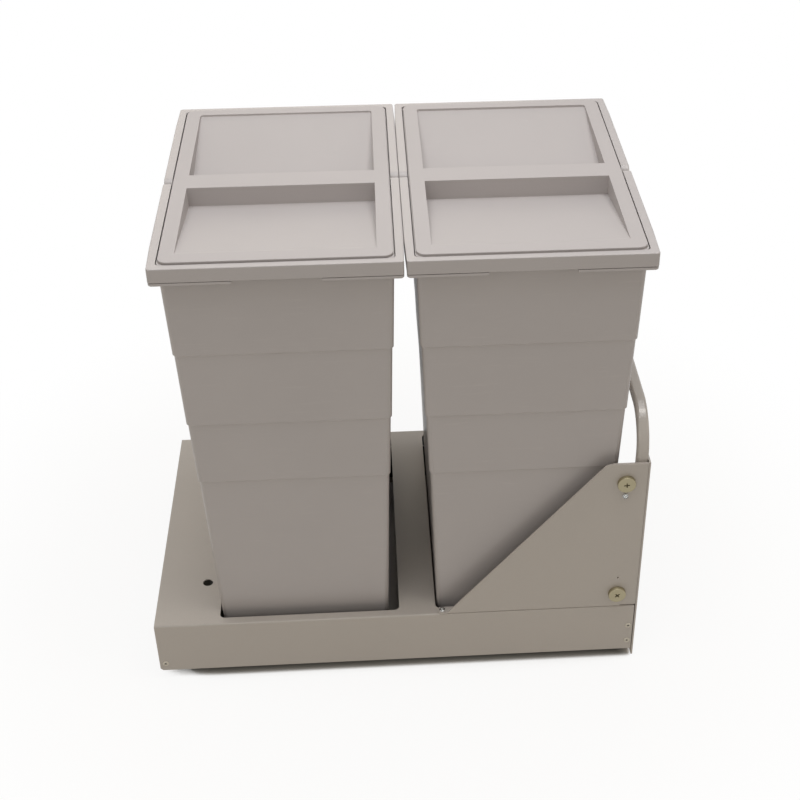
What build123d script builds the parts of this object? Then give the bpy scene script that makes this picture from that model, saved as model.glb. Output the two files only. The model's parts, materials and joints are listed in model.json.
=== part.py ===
from build123d import *
import os

# Pull-out frame for two lidded waste bins, for the floor of a kitchen base cabinet.
# +X is the way the frame pulls out, +Y is away from the side that is called near, +Z is up.
# The origin is on the cabinet floor, under the middle of the whole object. Millimetres.

# ---------------------------------------------------------------- driving dimensions
# Carriage cover, one folded sheet
COVER_WIDTH = 364.0
COVER_HEIGHT = 70.0
COVER_SHEET = 1.5
COVER_BEND = 2.2
FLOOR_GAP = 14.0
CUTOUT_REAR_PLAY = 2.25
CUTOUT_FRONT_PLAY = 12.05
CUTOUT_SIDE_PLAY = 9.55
CUTOUT_CORNER = 6.0
REAR_RETURN = 3.0
REAR_CHAMFER = 3.0
REAR_STIFFENER_HEIGHT = 15.0
REAR_STIFFENER_PLAY = 4.3
ACCESS_HOLE_RADIUS = 6.0
ACCESS_HOLE_SETBACK = 57.0
ACCESS_HOLE_INSET = 72.7
CROSSPIECE_EAR = 11.0
CROSSPIECE_RISE = 2.0

# Floor rails, crossbars and slides
RAIL_SHEET = 2.0
RAIL_HEIGHT = 66.0
RAIL_FLANGE = 33.0
RAIL_END_GAP = 4.0
CROSSBAR_SHEET = 2.0
CROSSBAR_WIDTH = 24.0
FLOOR_SCREW_HOLE_RADIUS = 2.75
CARRIER_SHEET = 1.5
SLIDE_DEPTH = 12.7
SLIDE_HEIGHT = 45.0
SLIDE_SHEET = 1.2
SLIDE_LENGTH = 500.0
SLIDE_SETBACK = 30.0
SLIDE_FRONT_GAP = 30.0
SLIDE_RISE = 40.0
BALL_RADIUS = 1.6
BALL_PLAY = 0.2
CAGE_SHEET = 0.5
CAGE_LENGTH = 240.0
BALLS_PER_ROW = 10
CAGE_PLAY = 0.25
OUTER_REACH = 9.0
MIDDLE_REACH = 10.5
OUTER_BALL_DEPTH = 4.5
INNER_BALL_DEPTH = 7.2

# Tray
TRAY_SHEET = 1.5
TRAY_RISE = 10.0
TRAY_LIP = 8.5
TRAY_SIDE_PLAY = 1.2
TRAY_RAIL_PLAY = 0.77
TRAY_EDGE_MARGIN = 2.0
TRAY_TAB_WIDTH = 90.0
TRAY_TAB_LENGTH = 14.0

# Side gussets and door frame
PLATE = 2.0
GUSSET_HEIGHT = 209.8
GUSSET_FOOT_LENGTH = 221.0
GUSSET_TOP_LENGTH = 44.9
GUSSET_CORNER = 10.0
GUSSET_FLANGE = 10.0
GUSSET_BEND = 1.8
GUSSET_TAB = 10.0
GUSSET_TAB_CORNER = 3.3
GUSSET_EDGE_GAP = 0.33
GUSSET_RELIEF_LENGTH = 18.0
GUSSET_RELIEF_HEIGHT = 2.2
DOOR_GAP = 1.0
DOOR_FLANGE_WIDTH = 42.0
DOOR_DROP = 10.0
DOOR_RISE = 1.2
BRACKET_LEG = 39.0
BRACKET_LEG_DROP = 0.5
BRACKET_FLOOR_PLAY = 6.0
DOOR_TRAVEL = 3.0
DOOR_SLOT_RADIUS = 2.5
DOOR_SLOT_LENGTH = 12.0
DOOR_SLOT_EDGE = 10.0
DOOR_SLOT_DROP = 28.0
DOOR_SLOT_SPACING = 160.0
TUBE_SIDE = 12.7
TUBE_WALL = 1.2
TUBE_CORNER = 3.0
ARCH_RISE = 56.2
ARCH_BEND = 45.0
ARCH_LEG_DROP = 78.3

# Fasteners
RIVET_SHANK_RADIUS = 2.0
RIVET_HEAD_RADIUS = 3.6
RIVET_HEAD_HEIGHT = 1.2
RIVET_MANDREL_RADIUS = 1.1
RIVET_PLAY = 0.1
RIVET_TAIL_RADIUS = 2.8
COVER_RIVET_REAR = (7.0, 11.0)
COVER_RIVETS_FRONT = ((5.4, 38.0), (5.4, 14.0))
SLIDE_RIVET_SHARES = (0.1, 0.4, 0.7, 0.94)
DISC_RADIUS = 10.2
DISC_THICKNESS = 5.0
DISC_CHAMFER = 0.7
CLAMP_SHANK_RADIUS = 3.0
CLAMP_SETBACK = 22.5
CLAMP_LOW_RISE = 21.0
CLAMP_HIGH_DROP = 25.3
NUT_RADIUS = 5.77
NUT_THICKNESS = 5.0
LOCK_DROP = 43.5
DIMPLE_RISE = 44.7
SMALL_SHANK_RADIUS = 1.7
SMALL_HEAD_RADIUS = 3.6
SMALL_HEAD_HEIGHT = 1.8
SMALL_HEAD_TOP_RADIUS = 2.2
SCREW_TAIL = 2.0
THREAD_PLAY = 0.05
CROSS_LENGTH = 5.0
SMALL_CROSS_LENGTH = 3.5
CROSS_WIDTH = 1.2
CROSS_DEPTH = 1.5

# Bins, carry handles and lids
BIN_HEIGHT = 548.0
BIN_WALL = 2.5
BIN_FLOOR = 3.0
BIN_CORNER = 5.0
NECK_BEAD_HEIGHT = 3.0
NECK_BEAD_PLAY = 0.9
BIN_DRAFT = 0.0297
BIN_GAP = 2.6
BIN_FRONT_SETBACK = 10.0
BIN_REAR_SETBACK = 50.4
LEDGE_INSET = 1.3
LEDGE_HEIGHT = 2.0
TIER_DEPTHS = (107.6, 197.5, 276.3)
LIP_OVERHANG = 9.6
LIP_THICKNESS = 3.2
LIP_CORNER = 4.0
LIP_EDGE = 1.2
LIP_RECESS_LENGTH = 88.0
LIP_RECESS_DEPTH = 6.0
APRON_HEIGHT = 16.0
HANDLE_BAND = 8.0
HANDLE_ARM_GAP = 0.4
HANDLE_SHOULDER = 45.0
HANDLE_CORNER = 3.0
HANDLE_INNER_CORNER = 5.0
HANDLE_WALL = 2.5
HANDLE_GAP = 0.4
HANDLE_EDGE = 1.0
HANDLE_BOSS = 12.0
SEAM_GAP = 1.4
PIVOT_RADIUS = 3.0
PIVOT_PLAY = 0.05
PIVOT_END_WALL = 1.9
PIVOT_END_PLAY = 0.1
LID_GAP = 1.7
LID_CORNER = 9.5
LID_PLATE = 3.0
LID_RISE = 2.0
LID_EDGE = 0.8
LID_SKIRT_HEIGHT = 10.0
LID_SKIRT_WALL = 2.0
LID_SKIRT_PLAY = 0.5
LID_BAR_WIDTH = 30.5
LID_BAR_SHIFT = -5.7
LID_NEAR_BORDER = 16.5
LID_NEAR_RAMP = 4.0
LID_FAR_BORDER = 13.0
LID_SIDE_BORDER = 15.7
LID_RECESS_DEPTH = 22.0
LID_RECESS_STEP = 2.5
LID_RECESS_WALL = 2.0
LID_RECESS_CORNER = 3.0

# ---------------------------------------------------------------- places worked out from them
SIDES = ((-1, "near"), (1, "far"))
COVER_LENGTH = SLIDE_SETBACK + SLIDE_LENGTH + SLIDE_FRONT_GAP
OBJECT_LENGTH = COVER_LENGTH + DOOR_GAP + PLATE
REAR_X = -OBJECT_LENGTH / 2
FRONT_X = REAR_X + COVER_LENGTH
FLANGE_X = FRONT_X + DOOR_GAP
HALF_WIDTH = COVER_WIDTH / 2
WALL_FACE = HALF_WIDTH - COVER_SHEET
CARRIER_FACE = WALL_FACE - CARRIER_SHEET
RAIL_FACE = CARRIER_FACE - SLIDE_DEPTH
RAIL_INSIDE = RAIL_FACE - RAIL_SHEET
GUSSET_FACE = HALF_WIDTH - PLATE
LEG_FACE = GUSSET_FACE - PLATE
COVER_TOP = FLOOR_GAP + COVER_HEIGHT
COVER_UNDERSIDE = COVER_TOP - COVER_SHEET
TRAY_TOP = TRAY_RISE + TRAY_SHEET
TRAY_HALF = RAIL_INSIDE - RIVET_HEAD_HEIGHT - TRAY_RAIL_PLAY - TRAY_SHEET
RIM_TOP = TRAY_TOP + BIN_HEIGHT
LIP_TOP = RIM_TOP - APRON_HEIGHT
LIP_BOTTOM = LIP_TOP - LIP_THICKNESS
LID_SETBACK = HANDLE_BAND + LID_GAP
BEAD_INSET = HANDLE_BAND + NECK_BEAD_PLAY


def bin_inset(z):
    """How far a bin's outer wall lies inside the rim's outline at this height."""
    ledges = sum(1 for depth in TIER_DEPTHS if z < RIM_TOP - depth - LEDGE_HEIGHT / 2)
    return LIP_OVERHANG + BIN_DRAFT * (LIP_BOTTOM - min(z, LIP_BOTTOM)) + LEDGE_INSET * ledges


BIN_LENGTH = (COVER_LENGTH - BIN_REAR_SETBACK - BIN_GAP - BIN_FRONT_SETBACK) / 2
BIN_WIDTH = 2 * (TRAY_HALF - TRAY_SIDE_PLAY + bin_inset(TRAY_TOP))
FRONT_BIN_X = FRONT_X - BIN_FRONT_SETBACK - BIN_LENGTH / 2
REAR_BIN_X = FRONT_BIN_X - BIN_LENGTH - BIN_GAP
HANDLE_SPLAY = (BIN_GAP - HANDLE_ARM_GAP) / 2
BINS = ((REAR_BIN_X, "rear"), (FRONT_BIN_X, "front"))
WAIST_INSET = bin_inset(COVER_TOP)
CUTOUT_LENGTH = BIN_LENGTH - 2 * WAIST_INSET + CUTOUT_REAR_PLAY + CUTOUT_FRONT_PLAY
CUTOUT_SHIFT = (CUTOUT_FRONT_PLAY - CUTOUT_REAR_PLAY) / 2
CUTOUT_WIDTH = BIN_WIDTH - 2 * WAIST_INSET + 2 * CUTOUT_SIDE_PLAY
REAR_SCREW_X = REAR_X + ACCESS_HOLE_SETBACK
RAIL_FRONT_X = FRONT_X - RAIL_END_GAP
FRONT_SCREW_X = RAIL_FRONT_X - CROSSBAR_WIDTH / 2
SCREW_Y = HALF_WIDTH - ACCESS_HOLE_INSET
SLIDE_X = (REAR_X + SLIDE_SETBACK, REAR_X + SLIDE_SETBACK + SLIDE_LENGTH)
GUSSET_TOP = COVER_TOP + GUSSET_HEIGHT
CLAMP_X = FRONT_X - CLAMP_SETBACK
CLAMP_ZS = (COVER_TOP + CLAMP_LOW_RISE, GUSSET_TOP - CLAMP_HIGH_DROP)
LOCK_Z = GUSSET_TOP - LOCK_DROP
DIMPLE_Z = COVER_TOP + DIMPLE_RISE
DOOR_TOP = GUSSET_TOP + DOOR_RISE
DOOR_SLOT_Y = HALF_WIDTH - DOOR_FLANGE_WIDTH + DOOR_SLOT_EDGE
DOOR_SLOT_ZS = (DOOR_TOP - DOOR_SLOT_DROP - DOOR_SLOT_SPACING, DOOR_TOP - DOOR_SLOT_DROP)


# ---------------------------------------------------------------- helpers
os.makedirs("parts", exist_ok=True)


def save(part, name):
    """Label a finished piece and write it to its own file."""
    part.label = name
    export_step(part, f"parts/{name}.step")


def block(xs, ys, zs, mode=Mode.ADD):
    """A box given by its two ends along X, Y and Z, in any order."""
    with Locations(((xs[0] + xs[1]) / 2, (ys[0] + ys[1]) / 2, (zs[0] + zs[1]) / 2)):
        Box(abs(xs[1] - xs[0]), abs(ys[1] - ys[0]), abs(zs[1] - zs[0]), mode=mode)


def rod_x(xs, y, z, radius, mode=Mode.ADD):
    with Locations(((xs[0] + xs[1]) / 2, y, z)):
        Cylinder(radius, abs(xs[1] - xs[0]), rotation=(0, 90, 0), mode=mode)


def rod_y(x, ys, z, radius, mode=Mode.ADD):
    with Locations((x, (ys[0] + ys[1]) / 2, z)):
        Cylinder(radius, abs(ys[1] - ys[0]), rotation=(90, 0, 0), mode=mode)


def rod_z(x, y, zs, radius, mode=Mode.ADD):
    with Locations((x, y, (zs[0] + zs[1]) / 2)):
        Cylinder(radius, abs(zs[1] - zs[0]), mode=mode)


def across(side, *distances):
    """Y values at these distances from the middle, on one side."""
    return tuple(side * distance for distance in distances)


def side_plane(side, distance):
    """A plane parallel to XZ, at this distance from the middle on one side."""
    return Plane.XZ.offset(-side * distance)


def from_rail(side, *depths):
    """Y values at these depths outwards from the rail's outer face."""
    return across(side, *(RAIL_FACE + depth for depth in depths))


def slide_rivet_xs():
    return [SLIDE_X[0] + share * SLIDE_LENGTH for share in SLIDE_RIVET_SHARES]


# ---------------------------------------------------------------- fixed part on the cabinet floor
RAIL_X = (SLIDE_X[0], RAIL_FRONT_X)
RAIL_BASE = CROSSBAR_SHEET
FLANGE_RIVET_Y = RAIL_FACE - RAIL_FLANGE / 2
RIVET_HOLE = RIVET_SHANK_RADIUS + RIVET_PLAY


def floor_rail(side):
    """L-shaped rail: a leg that carries the slide and a flange that lies on the crossbars."""
    with BuildPart() as rail:
        leg = across(side, RAIL_INSIDE, RAIL_FACE)
        flange = across(side, RAIL_FACE - RAIL_FLANGE, RAIL_FACE)
        block(RAIL_X, leg, (RAIL_BASE, RAIL_BASE + RAIL_HEIGHT))
        block(RAIL_X, flange, (RAIL_BASE, RAIL_BASE + RAIL_SHEET))
        for x in slide_rivet_xs():
            rod_y(x, leg, SLIDE_RISE, RIVET_HOLE, mode=Mode.SUBTRACT)
        for x in (REAR_SCREW_X, FRONT_SCREW_X):
            zs = (RAIL_BASE, RAIL_BASE + RAIL_SHEET)
            rod_z(x, side * FLANGE_RIVET_Y, zs, RIVET_HOLE, mode=Mode.SUBTRACT)
    return rail.part


def floor_crossbar(x):
    """Flat bar on the floor, with two holes for the floor screws."""
    with BuildPart() as bar:
        xs = (x - CROSSBAR_WIDTH / 2, x + CROSSBAR_WIDTH / 2)
        zs = (0, CROSSBAR_SHEET)
        block(xs, (-RAIL_FACE, RAIL_FACE), zs)
        for side, _ in SIDES:
            rod_z(x, side * SCREW_Y, zs, FLOOR_SCREW_HOLE_RADIUS, mode=Mode.SUBTRACT)
            rod_z(x, side * FLANGE_RIVET_Y, zs, RIVET_HOLE, mode=Mode.SUBTRACT)
    return bar.part


for side, word in SIDES:
    save(floor_rail(side), f"floor_rail_{word}")
save(floor_crossbar(REAR_SCREW_X), "floor_crossbar_rear")
save(floor_crossbar(FRONT_SCREW_X), "floor_crossbar_front")

with BuildPart() as rail_rivets:
    flange_top = RAIL_BASE + RAIL_SHEET
    for side, _ in SIDES:
        for x in slide_rivet_xs():
            shank = across(side, RAIL_INSIDE, RAIL_FACE + SLIDE_SHEET)
            head = across(side, RAIL_INSIDE - RIVET_HEAD_HEIGHT, RAIL_INSIDE)
            rod_y(x, shank, SLIDE_RISE, RIVET_SHANK_RADIUS)
            rod_y(x, head, SLIDE_RISE, RIVET_HEAD_RADIUS)
        for x in (REAR_SCREW_X, FRONT_SCREW_X):
            y = side * FLANGE_RIVET_Y
            rod_z(x, y, (0, flange_top), RIVET_SHANK_RADIUS)
            rod_z(x, y, (flange_top, flange_top + RIVET_HEAD_HEIGHT), RIVET_HEAD_RADIUS)
save(rail_rivets.part, "rail_rivets")

# ---------------------------------------------------------------- ball-bearing slides
# Each member is a channel. Depths run outwards from the rail, half heights from the slide's middle.
BALL_SPACE = 2 * (BALL_RADIUS + BALL_PLAY)
OUTER_HALF = SLIDE_HEIGHT / 2
MIDDLE_HALF = OUTER_HALF - SLIDE_SHEET - BALL_SPACE
INNER_HALF = MIDDLE_HALF - SLIDE_SHEET - BALL_SPACE
OUTER_BALL_HALF = MIDDLE_HALF + BALL_SPACE / 2
INNER_BALL_HALF = INNER_HALF + BALL_SPACE / 2
OUTER_CAGE_DEPTH = SLIDE_SHEET + CAGE_PLAY
MIDDLE_DEPTH = OUTER_CAGE_DEPTH + CAGE_SHEET + CAGE_PLAY
INNER_CAGE_DEPTH = MIDDLE_DEPTH + SLIDE_SHEET + CAGE_PLAY
INNER_DEPTH = INNER_CAGE_DEPTH + CAGE_SHEET + CAGE_PLAY
CAGE_X = (sum(SLIDE_X) / 2 - CAGE_LENGTH / 2, sum(SLIDE_X) / 2 + CAGE_LENGTH / 2)
BALL_PITCH = CAGE_LENGTH / BALLS_PER_ROW
BALL_XS = [CAGE_X[0] + BALL_PITCH * (i + 0.5) for i in range(BALLS_PER_ROW)]


def channel(side, xs, web, flanges, half_height, sheet):
    """Make a channel along X from its web's and flanges' depths."""
    block(xs, from_rail(side, *web), (SLIDE_RISE - half_height, SLIDE_RISE + half_height))
    for up in (-1, 1):
        edge = SLIDE_RISE + up * half_height
        block(xs, from_rail(side, *flanges), (edge, edge - up * sheet))


def slide_outer(side):
    with BuildPart() as member:
        channel(side, SLIDE_X, (0, SLIDE_SHEET), (0, OUTER_REACH), OUTER_HALF, SLIDE_SHEET)
        for x in slide_rivet_xs():
            hole = from_rail(side, 0, SLIDE_SHEET)
            rod_y(x, hole, SLIDE_RISE, RIVET_HOLE, mode=Mode.SUBTRACT)
    return member.part


def slide_middle(side):
    with BuildPart() as member:
        web = (MIDDLE_DEPTH, MIDDLE_DEPTH + SLIDE_SHEET)
        channel(side, SLIDE_X, web, (MIDDLE_DEPTH, MIDDLE_REACH), MIDDLE_HALF, SLIDE_SHEET)
    return member.part


def slide_inner(side):
    with BuildPart() as member:
        web = (SLIDE_DEPTH - SLIDE_SHEET, SLIDE_DEPTH)
        channel(side, SLIDE_X, web, (INNER_DEPTH, SLIDE_DEPTH), INNER_HALF, SLIDE_SHEET)
        for x in slide_rivet_xs():
            rod_y(x, from_rail(side, *web), SLIDE_RISE, RIVET_HOLE, mode=Mode.SUBTRACT)
    return member.part


def ball_cage(side, web_depth, ball_depth, ball_half):
    """Thin channel with a hole round each ball."""
    with BuildPart() as cage:
        reach = ball_depth + BALL_RADIUS + 2 * CAGE_SHEET
        half = ball_half + CAGE_SHEET / 2
        web = (web_depth, web_depth + CAGE_SHEET)
        channel(side, CAGE_X, web, (web_depth, reach), half, CAGE_SHEET)
        for up in (-1, 1):
            middle = SLIDE_RISE + up * ball_half
            for x in BALL_XS:
                zs = (middle - CAGE_SHEET, middle + CAGE_SHEET)
                y = from_rail(side, ball_depth)[0]
                rod_z(x, y, zs, BALL_RADIUS + BALL_PLAY, mode=Mode.SUBTRACT)
    return cage.part


def ball_rows(side, ball_depth, ball_half):
    with BuildPart() as balls:
        y = from_rail(side, ball_depth)[0]
        for up in (-1, 1):
            with Locations([(x, y, SLIDE_RISE + up * ball_half) for x in BALL_XS]):
                Sphere(BALL_RADIUS)
    return balls.part


for side, word in SIDES:
    outer_cage = ball_cage(side, OUTER_CAGE_DEPTH, OUTER_BALL_DEPTH, OUTER_BALL_HALF)
    inner_cage = ball_cage(side, INNER_CAGE_DEPTH, INNER_BALL_DEPTH, INNER_BALL_HALF)
    save(slide_outer(side), f"slide_outer_{word}")
    save(slide_middle(side), f"slide_middle_{word}")
    save(slide_inner(side), f"slide_inner_{word}")
    save(outer_cage, f"outer_ball_cage_{word}")
    save(inner_cage, f"inner_ball_cage_{word}")
    save(ball_rows(side, OUTER_BALL_DEPTH, OUTER_BALL_HALF), f"outer_balls_{word}")
    save(ball_rows(side, INNER_BALL_DEPTH, INNER_BALL_HALF), f"inner_balls_{word}")

with BuildPart() as slide_inner_rivets:
    for side, _ in SIDES:
        web_face = SLIDE_DEPTH - SLIDE_SHEET
        shank = from_rail(side, web_face, SLIDE_DEPTH + CARRIER_SHEET)
        head = from_rail(side, web_face - RIVET_HEAD_HEIGHT, web_face)
        for x in slide_rivet_xs():
            rod_y(x, shank, SLIDE_RISE, RIVET_SHANK_RADIUS)
            rod_y(x, head, SLIDE_RISE, RIVET_HEAD_RADIUS)
save(slide_inner_rivets.part, "slide_inner_rivets")

# ---------------------------------------------------------------- carriage
GUSSET_TIP_X = FRONT_X - GUSSET_FOOT_LENGTH
TIP_SCREW = (GUSSET_TIP_X - GUSSET_TAB / 2, HALF_WIDTH - GUSSET_FLANGE / 2)
COVER_RIVETS = [(REAR_X + COVER_RIVET_REAR[0], FLOOR_GAP + COVER_RIVET_REAR[1])]
COVER_RIVETS += [(FRONT_X - setback, FLOOR_GAP + z) for setback, z in COVER_RIVETS_FRONT]
TIP_SCREW_HOLE = SMALL_SHANK_RADIUS + RIVET_PLAY

with BuildPart() as frame_cover:
    with BuildSketch(Plane.YZ.offset(REAR_X)):
        with Locations((0, COVER_TOP - COVER_HEIGHT / 2)):
            Rectangle(COVER_WIDTH, COVER_HEIGHT)
        with Locations((0, COVER_UNDERSIDE - COVER_HEIGHT / 2)):
            Rectangle(2 * WALL_FACE, COVER_HEIGHT, mode=Mode.SUBTRACT)
    extrude(amount=COVER_LENGTH)
    long_edges = frame_cover.edges().filter_by(Axis.X).group_by(Axis.Z)[-1]
    fillet(long_edges, COVER_BEND)
    rear_sheet = (REAR_X, REAR_X + COVER_SHEET)
    for side, _ in SIDES:
        return_ys = across(side, WALL_FACE - REAR_RETURN, WALL_FACE)
        block(rear_sheet, return_ys, (FLOOR_GAP, COVER_UNDERSIDE))
    stiffener_half = RAIL_INSIDE - REAR_STIFFENER_PLAY
    stiffener_zs = (COVER_UNDERSIDE - REAR_STIFFENER_HEIGHT, COVER_UNDERSIDE)
    block(rear_sheet, (-stiffener_half, stiffener_half), stiffener_zs)
    with BuildSketch(Plane.XZ.offset(-HALF_WIDTH)):
        with BuildLine():
            Polyline(
                (REAR_X, FLOOR_GAP),
                (REAR_X + REAR_CHAMFER, FLOOR_GAP),
                (REAR_X, FLOOR_GAP + REAR_CHAMFER),
                close=True,
            )
        make_face()
    extrude(amount=COVER_WIDTH, mode=Mode.SUBTRACT)
    with BuildSketch(Plane.XY.offset(COVER_TOP)):
        with Locations([(x + CUTOUT_SHIFT, 0) for x, _ in BINS]):
            RectangleRounded(CUTOUT_LENGTH, CUTOUT_WIDTH, CUTOUT_CORNER)
        with Locations([(REAR_SCREW_X, side * SCREW_Y) for side, _ in SIDES]):
            Circle(ACCESS_HOLE_RADIUS)
        with Locations([(TIP_SCREW[0], side * TIP_SCREW[1]) for side, _ in SIDES]):
            Circle(TIP_SCREW_HOLE)
    extrude(amount=-COVER_SHEET, mode=Mode.SUBTRACT)
    for side, _ in SIDES:
        for x, z in COVER_RIVETS:
            rod_y(x, across(side, WALL_FACE, HALF_WIDTH), z, RIVET_HOLE, mode=Mode.SUBTRACT)
save(frame_cover.part, "frame_cover")

with BuildPart() as front_crosspiece:
    crosspiece_zs = (FLOOR_GAP + CROSSPIECE_RISE, COVER_UNDERSIDE)
    block((FRONT_X - COVER_SHEET, FRONT_X), (-WALL_FACE, WALL_FACE), crosspiece_zs)
    for side, _ in SIDES:
        ear_ys = across(side, CARRIER_FACE, WALL_FACE)
        block((FRONT_X - CROSSPIECE_EAR, FRONT_X), ear_ys, crosspiece_zs)
        for x, z in COVER_RIVETS[1:]:
            rod_y(x, ear_ys, z, RIVET_HOLE, mode=Mode.SUBTRACT)
save(front_crosspiece.part, "front_crosspiece")


def slide_carrier(side):
    """Strip welded inside the cover's wall, to which the slide's inner member is riveted."""
    with BuildPart() as carrier:
        ys = across(side, CARRIER_FACE, WALL_FACE)
        xs = (REAR_X + COVER_SHEET, SLIDE_X[1])
        zs = (FLOOR_GAP, COVER_UNDERSIDE)
        block(xs, ys, zs)
        for x in slide_rivet_xs():
            rod_y(x, ys, SLIDE_RISE, RIVET_HOLE, mode=Mode.SUBTRACT)
        rear_x, rear_z = COVER_RIVETS[0]
        rod_y(rear_x, ys, rear_z, RIVET_HOLE, mode=Mode.SUBTRACT)
        chamfer_edge = carrier.edges().filter_by(Axis.Y).group_by(Axis.X)[0].sort_by(Axis.Z)[0]
        chamfer(chamfer_edge, REAR_CHAMFER)
    return carrier.part


for side, word in SIDES:
    save(slide_carrier(side), f"slide_carrier_{word}")

with BuildPart() as cover_rivets:
    for side, _ in SIDES:
        for x, z in COVER_RIVETS:
            head_ys = across(side, HALF_WIDTH, HALF_WIDTH + RIVET_HEAD_HEIGHT)
            tail_ys = across(side, CARRIER_FACE - RIVET_HEAD_HEIGHT, CARRIER_FACE)
            rod_y(x, across(side, CARRIER_FACE, HALF_WIDTH), z, RIVET_SHANK_RADIUS)
            rod_y(x, tail_ys, z, RIVET_TAIL_RADIUS)
            rod_y(x, head_ys, z, RIVET_HEAD_RADIUS)
            rod_y(x, head_ys, z, RIVET_MANDREL_RADIUS, mode=Mode.SUBTRACT)
save(cover_rivets.part, "cover_rivets")


TRAY_OVERHANG = CUTOUT_LENGTH / 2 + TRAY_EDGE_MARGIN
TRAY_X = (
    REAR_BIN_X + CUTOUT_SHIFT - TRAY_OVERHANG,
    FRONT_BIN_X + CUTOUT_SHIFT + TRAY_OVERHANG,
)

with BuildPart() as bin_tray:
    tray_ys = (-TRAY_HALF - TRAY_SHEET, TRAY_HALF + TRAY_SHEET)
    block(TRAY_X, tray_ys, (TRAY_RISE, TRAY_TOP))
    for side, _ in SIDES:
        lip_ys = across(side, TRAY_HALF, TRAY_HALF + TRAY_SHEET)
        block(TRAY_X, lip_ys, (TRAY_RISE, TRAY_TOP + TRAY_LIP))
    for x, way in ((TRAY_X[0], -1), (TRAY_X[1], 1)):
        wall_xs = (x, x + way * TRAY_SHEET)
        tab_xs = (x, x + way * TRAY_TAB_LENGTH)
        tab_ys = (-TRAY_TAB_WIDTH, TRAY_TAB_WIDTH)
        block(wall_xs, tray_ys, (TRAY_RISE, COVER_UNDERSIDE))
        block(tab_xs, tab_ys, (COVER_UNDERSIDE - TRAY_SHEET, COVER_UNDERSIDE))
save(bin_tray.part, "bin_tray")


def side_gusset(side):
    """Triangular side plate with a flange at its foot, screwed to the cover at its rear tip."""
    relief_x = FRONT_X - GUSSET_RELIEF_LENGTH
    plate_front = FLANGE_X - GUSSET_EDGE_GAP
    top_corner = FRONT_X - GUSSET_TOP_LENGTH
    with BuildPart() as gusset:
        with BuildSketch(side_plane(side, GUSSET_FACE)):
            with BuildLine():
                Polyline(
                    (GUSSET_TIP_X, COVER_TOP),
                    (relief_x, COVER_TOP),
                    (relief_x, COVER_TOP + GUSSET_RELIEF_HEIGHT),
                    (plate_front, COVER_TOP + GUSSET_RELIEF_HEIGHT),
                    (plate_front, GUSSET_TOP),
                    (top_corner, GUSSET_TOP),
                    close=True,
                )
            make_face()
        extrude(amount=-side * PLATE)
        top_edges = gusset.edges().filter_by(Axis.Y).group_by(Axis.Z)[-1]
        fillet(top_edges.sort_by(Axis.X)[0], GUSSET_CORNER)
        foot_ys = across(side, HALF_WIDTH - GUSSET_FLANGE, HALF_WIDTH)
        foot_zs = (COVER_TOP, COVER_TOP + PLATE)
        block((GUSSET_TIP_X, relief_x), foot_ys, foot_zs)
        foot_edges = gusset.edges().filter_by(Axis.X).filter_by_position(Axis.Z, COVER_TOP, COVER_TOP)
        fillet(foot_edges.sort_by(Axis.Y)[0 if side < 0 else -1], GUSSET_BEND)
        block((GUSSET_TIP_X - GUSSET_TAB, GUSSET_TIP_X), foot_ys, foot_zs)
        tab_corners = gusset.edges().filter_by(Axis.Z).group_by(Axis.X)[0]
        fillet(tab_corners, GUSSET_TAB_CORNER)
        rod_z(TIP_SCREW[0], side * TIP_SCREW[1], foot_zs, TIP_SCREW_HOLE, mode=Mode.SUBTRACT)
        plate_ys = across(side, GUSSET_FACE, HALF_WIDTH)
        for z in CLAMP_ZS:
            hole_radius = CLAMP_SHANK_RADIUS + RIVET_PLAY
            rod_y(CLAMP_X, plate_ys, z, hole_radius, mode=Mode.SUBTRACT)
        rod_y(CLAMP_X, plate_ys, LOCK_Z, TIP_SCREW_HOLE, mode=Mode.SUBTRACT)
        rod_y(CLAMP_X, plate_ys, DIMPLE_Z, RIVET_MANDREL_RADIUS, mode=Mode.SUBTRACT)
    return gusset.part


for side, word in SIDES:
    save(side_gusset(side), f"side_gusset_{word}")


def cross_recess(x, side, z, y_face, length):
    """Cut a cross slot into a screw head that faces sideways."""
    ys = across(side, y_face - CROSS_DEPTH, y_face)
    half = CROSS_WIDTH / 2
    block((x - length / 2, x + length / 2), ys, (z - half, z + half), mode=Mode.SUBTRACT)
    block((x - half, x + half), ys, (z - length / 2, z + length / 2), mode=Mode.SUBTRACT)


with BuildPart() as gusset_screws:
    head_bottom = COVER_TOP + PLATE
    for side, _ in SIDES:
        y = side * TIP_SCREW[1]
        rod_z(TIP_SCREW[0], y, (COVER_UNDERSIDE - SCREW_TAIL, head_bottom), SMALL_SHANK_RADIUS)
        with Locations((TIP_SCREW[0], y, head_bottom + SMALL_HEAD_HEIGHT / 2)):
            Cone(SMALL_HEAD_RADIUS, SMALL_HEAD_TOP_RADIUS, SMALL_HEAD_HEIGHT)
save(gusset_screws.part, "gusset_screws")

with BuildPart() as clamp_screws:
    disc_face = HALF_WIDTH + DISC_THICKNESS
    for side, _ in SIDES:
        for z in CLAMP_ZS:
            rod_y(CLAMP_X, across(side, HALF_WIDTH, disc_face), z, DISC_RADIUS)
    rims = clamp_screws.edges().filter_by(GeomType.CIRCLE)
    chamfer(rims, DISC_CHAMFER)
    for side, _ in SIDES:
        for z in CLAMP_ZS:
            shank_ys = across(side, LEG_FACE - NUT_THICKNESS - SCREW_TAIL, HALF_WIDTH)
            rod_y(CLAMP_X, shank_ys, z, CLAMP_SHANK_RADIUS)
            cross_recess(CLAMP_X, side, z, disc_face, CROSS_LENGTH)
save(clamp_screws.part, "clamp_screws")

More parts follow.
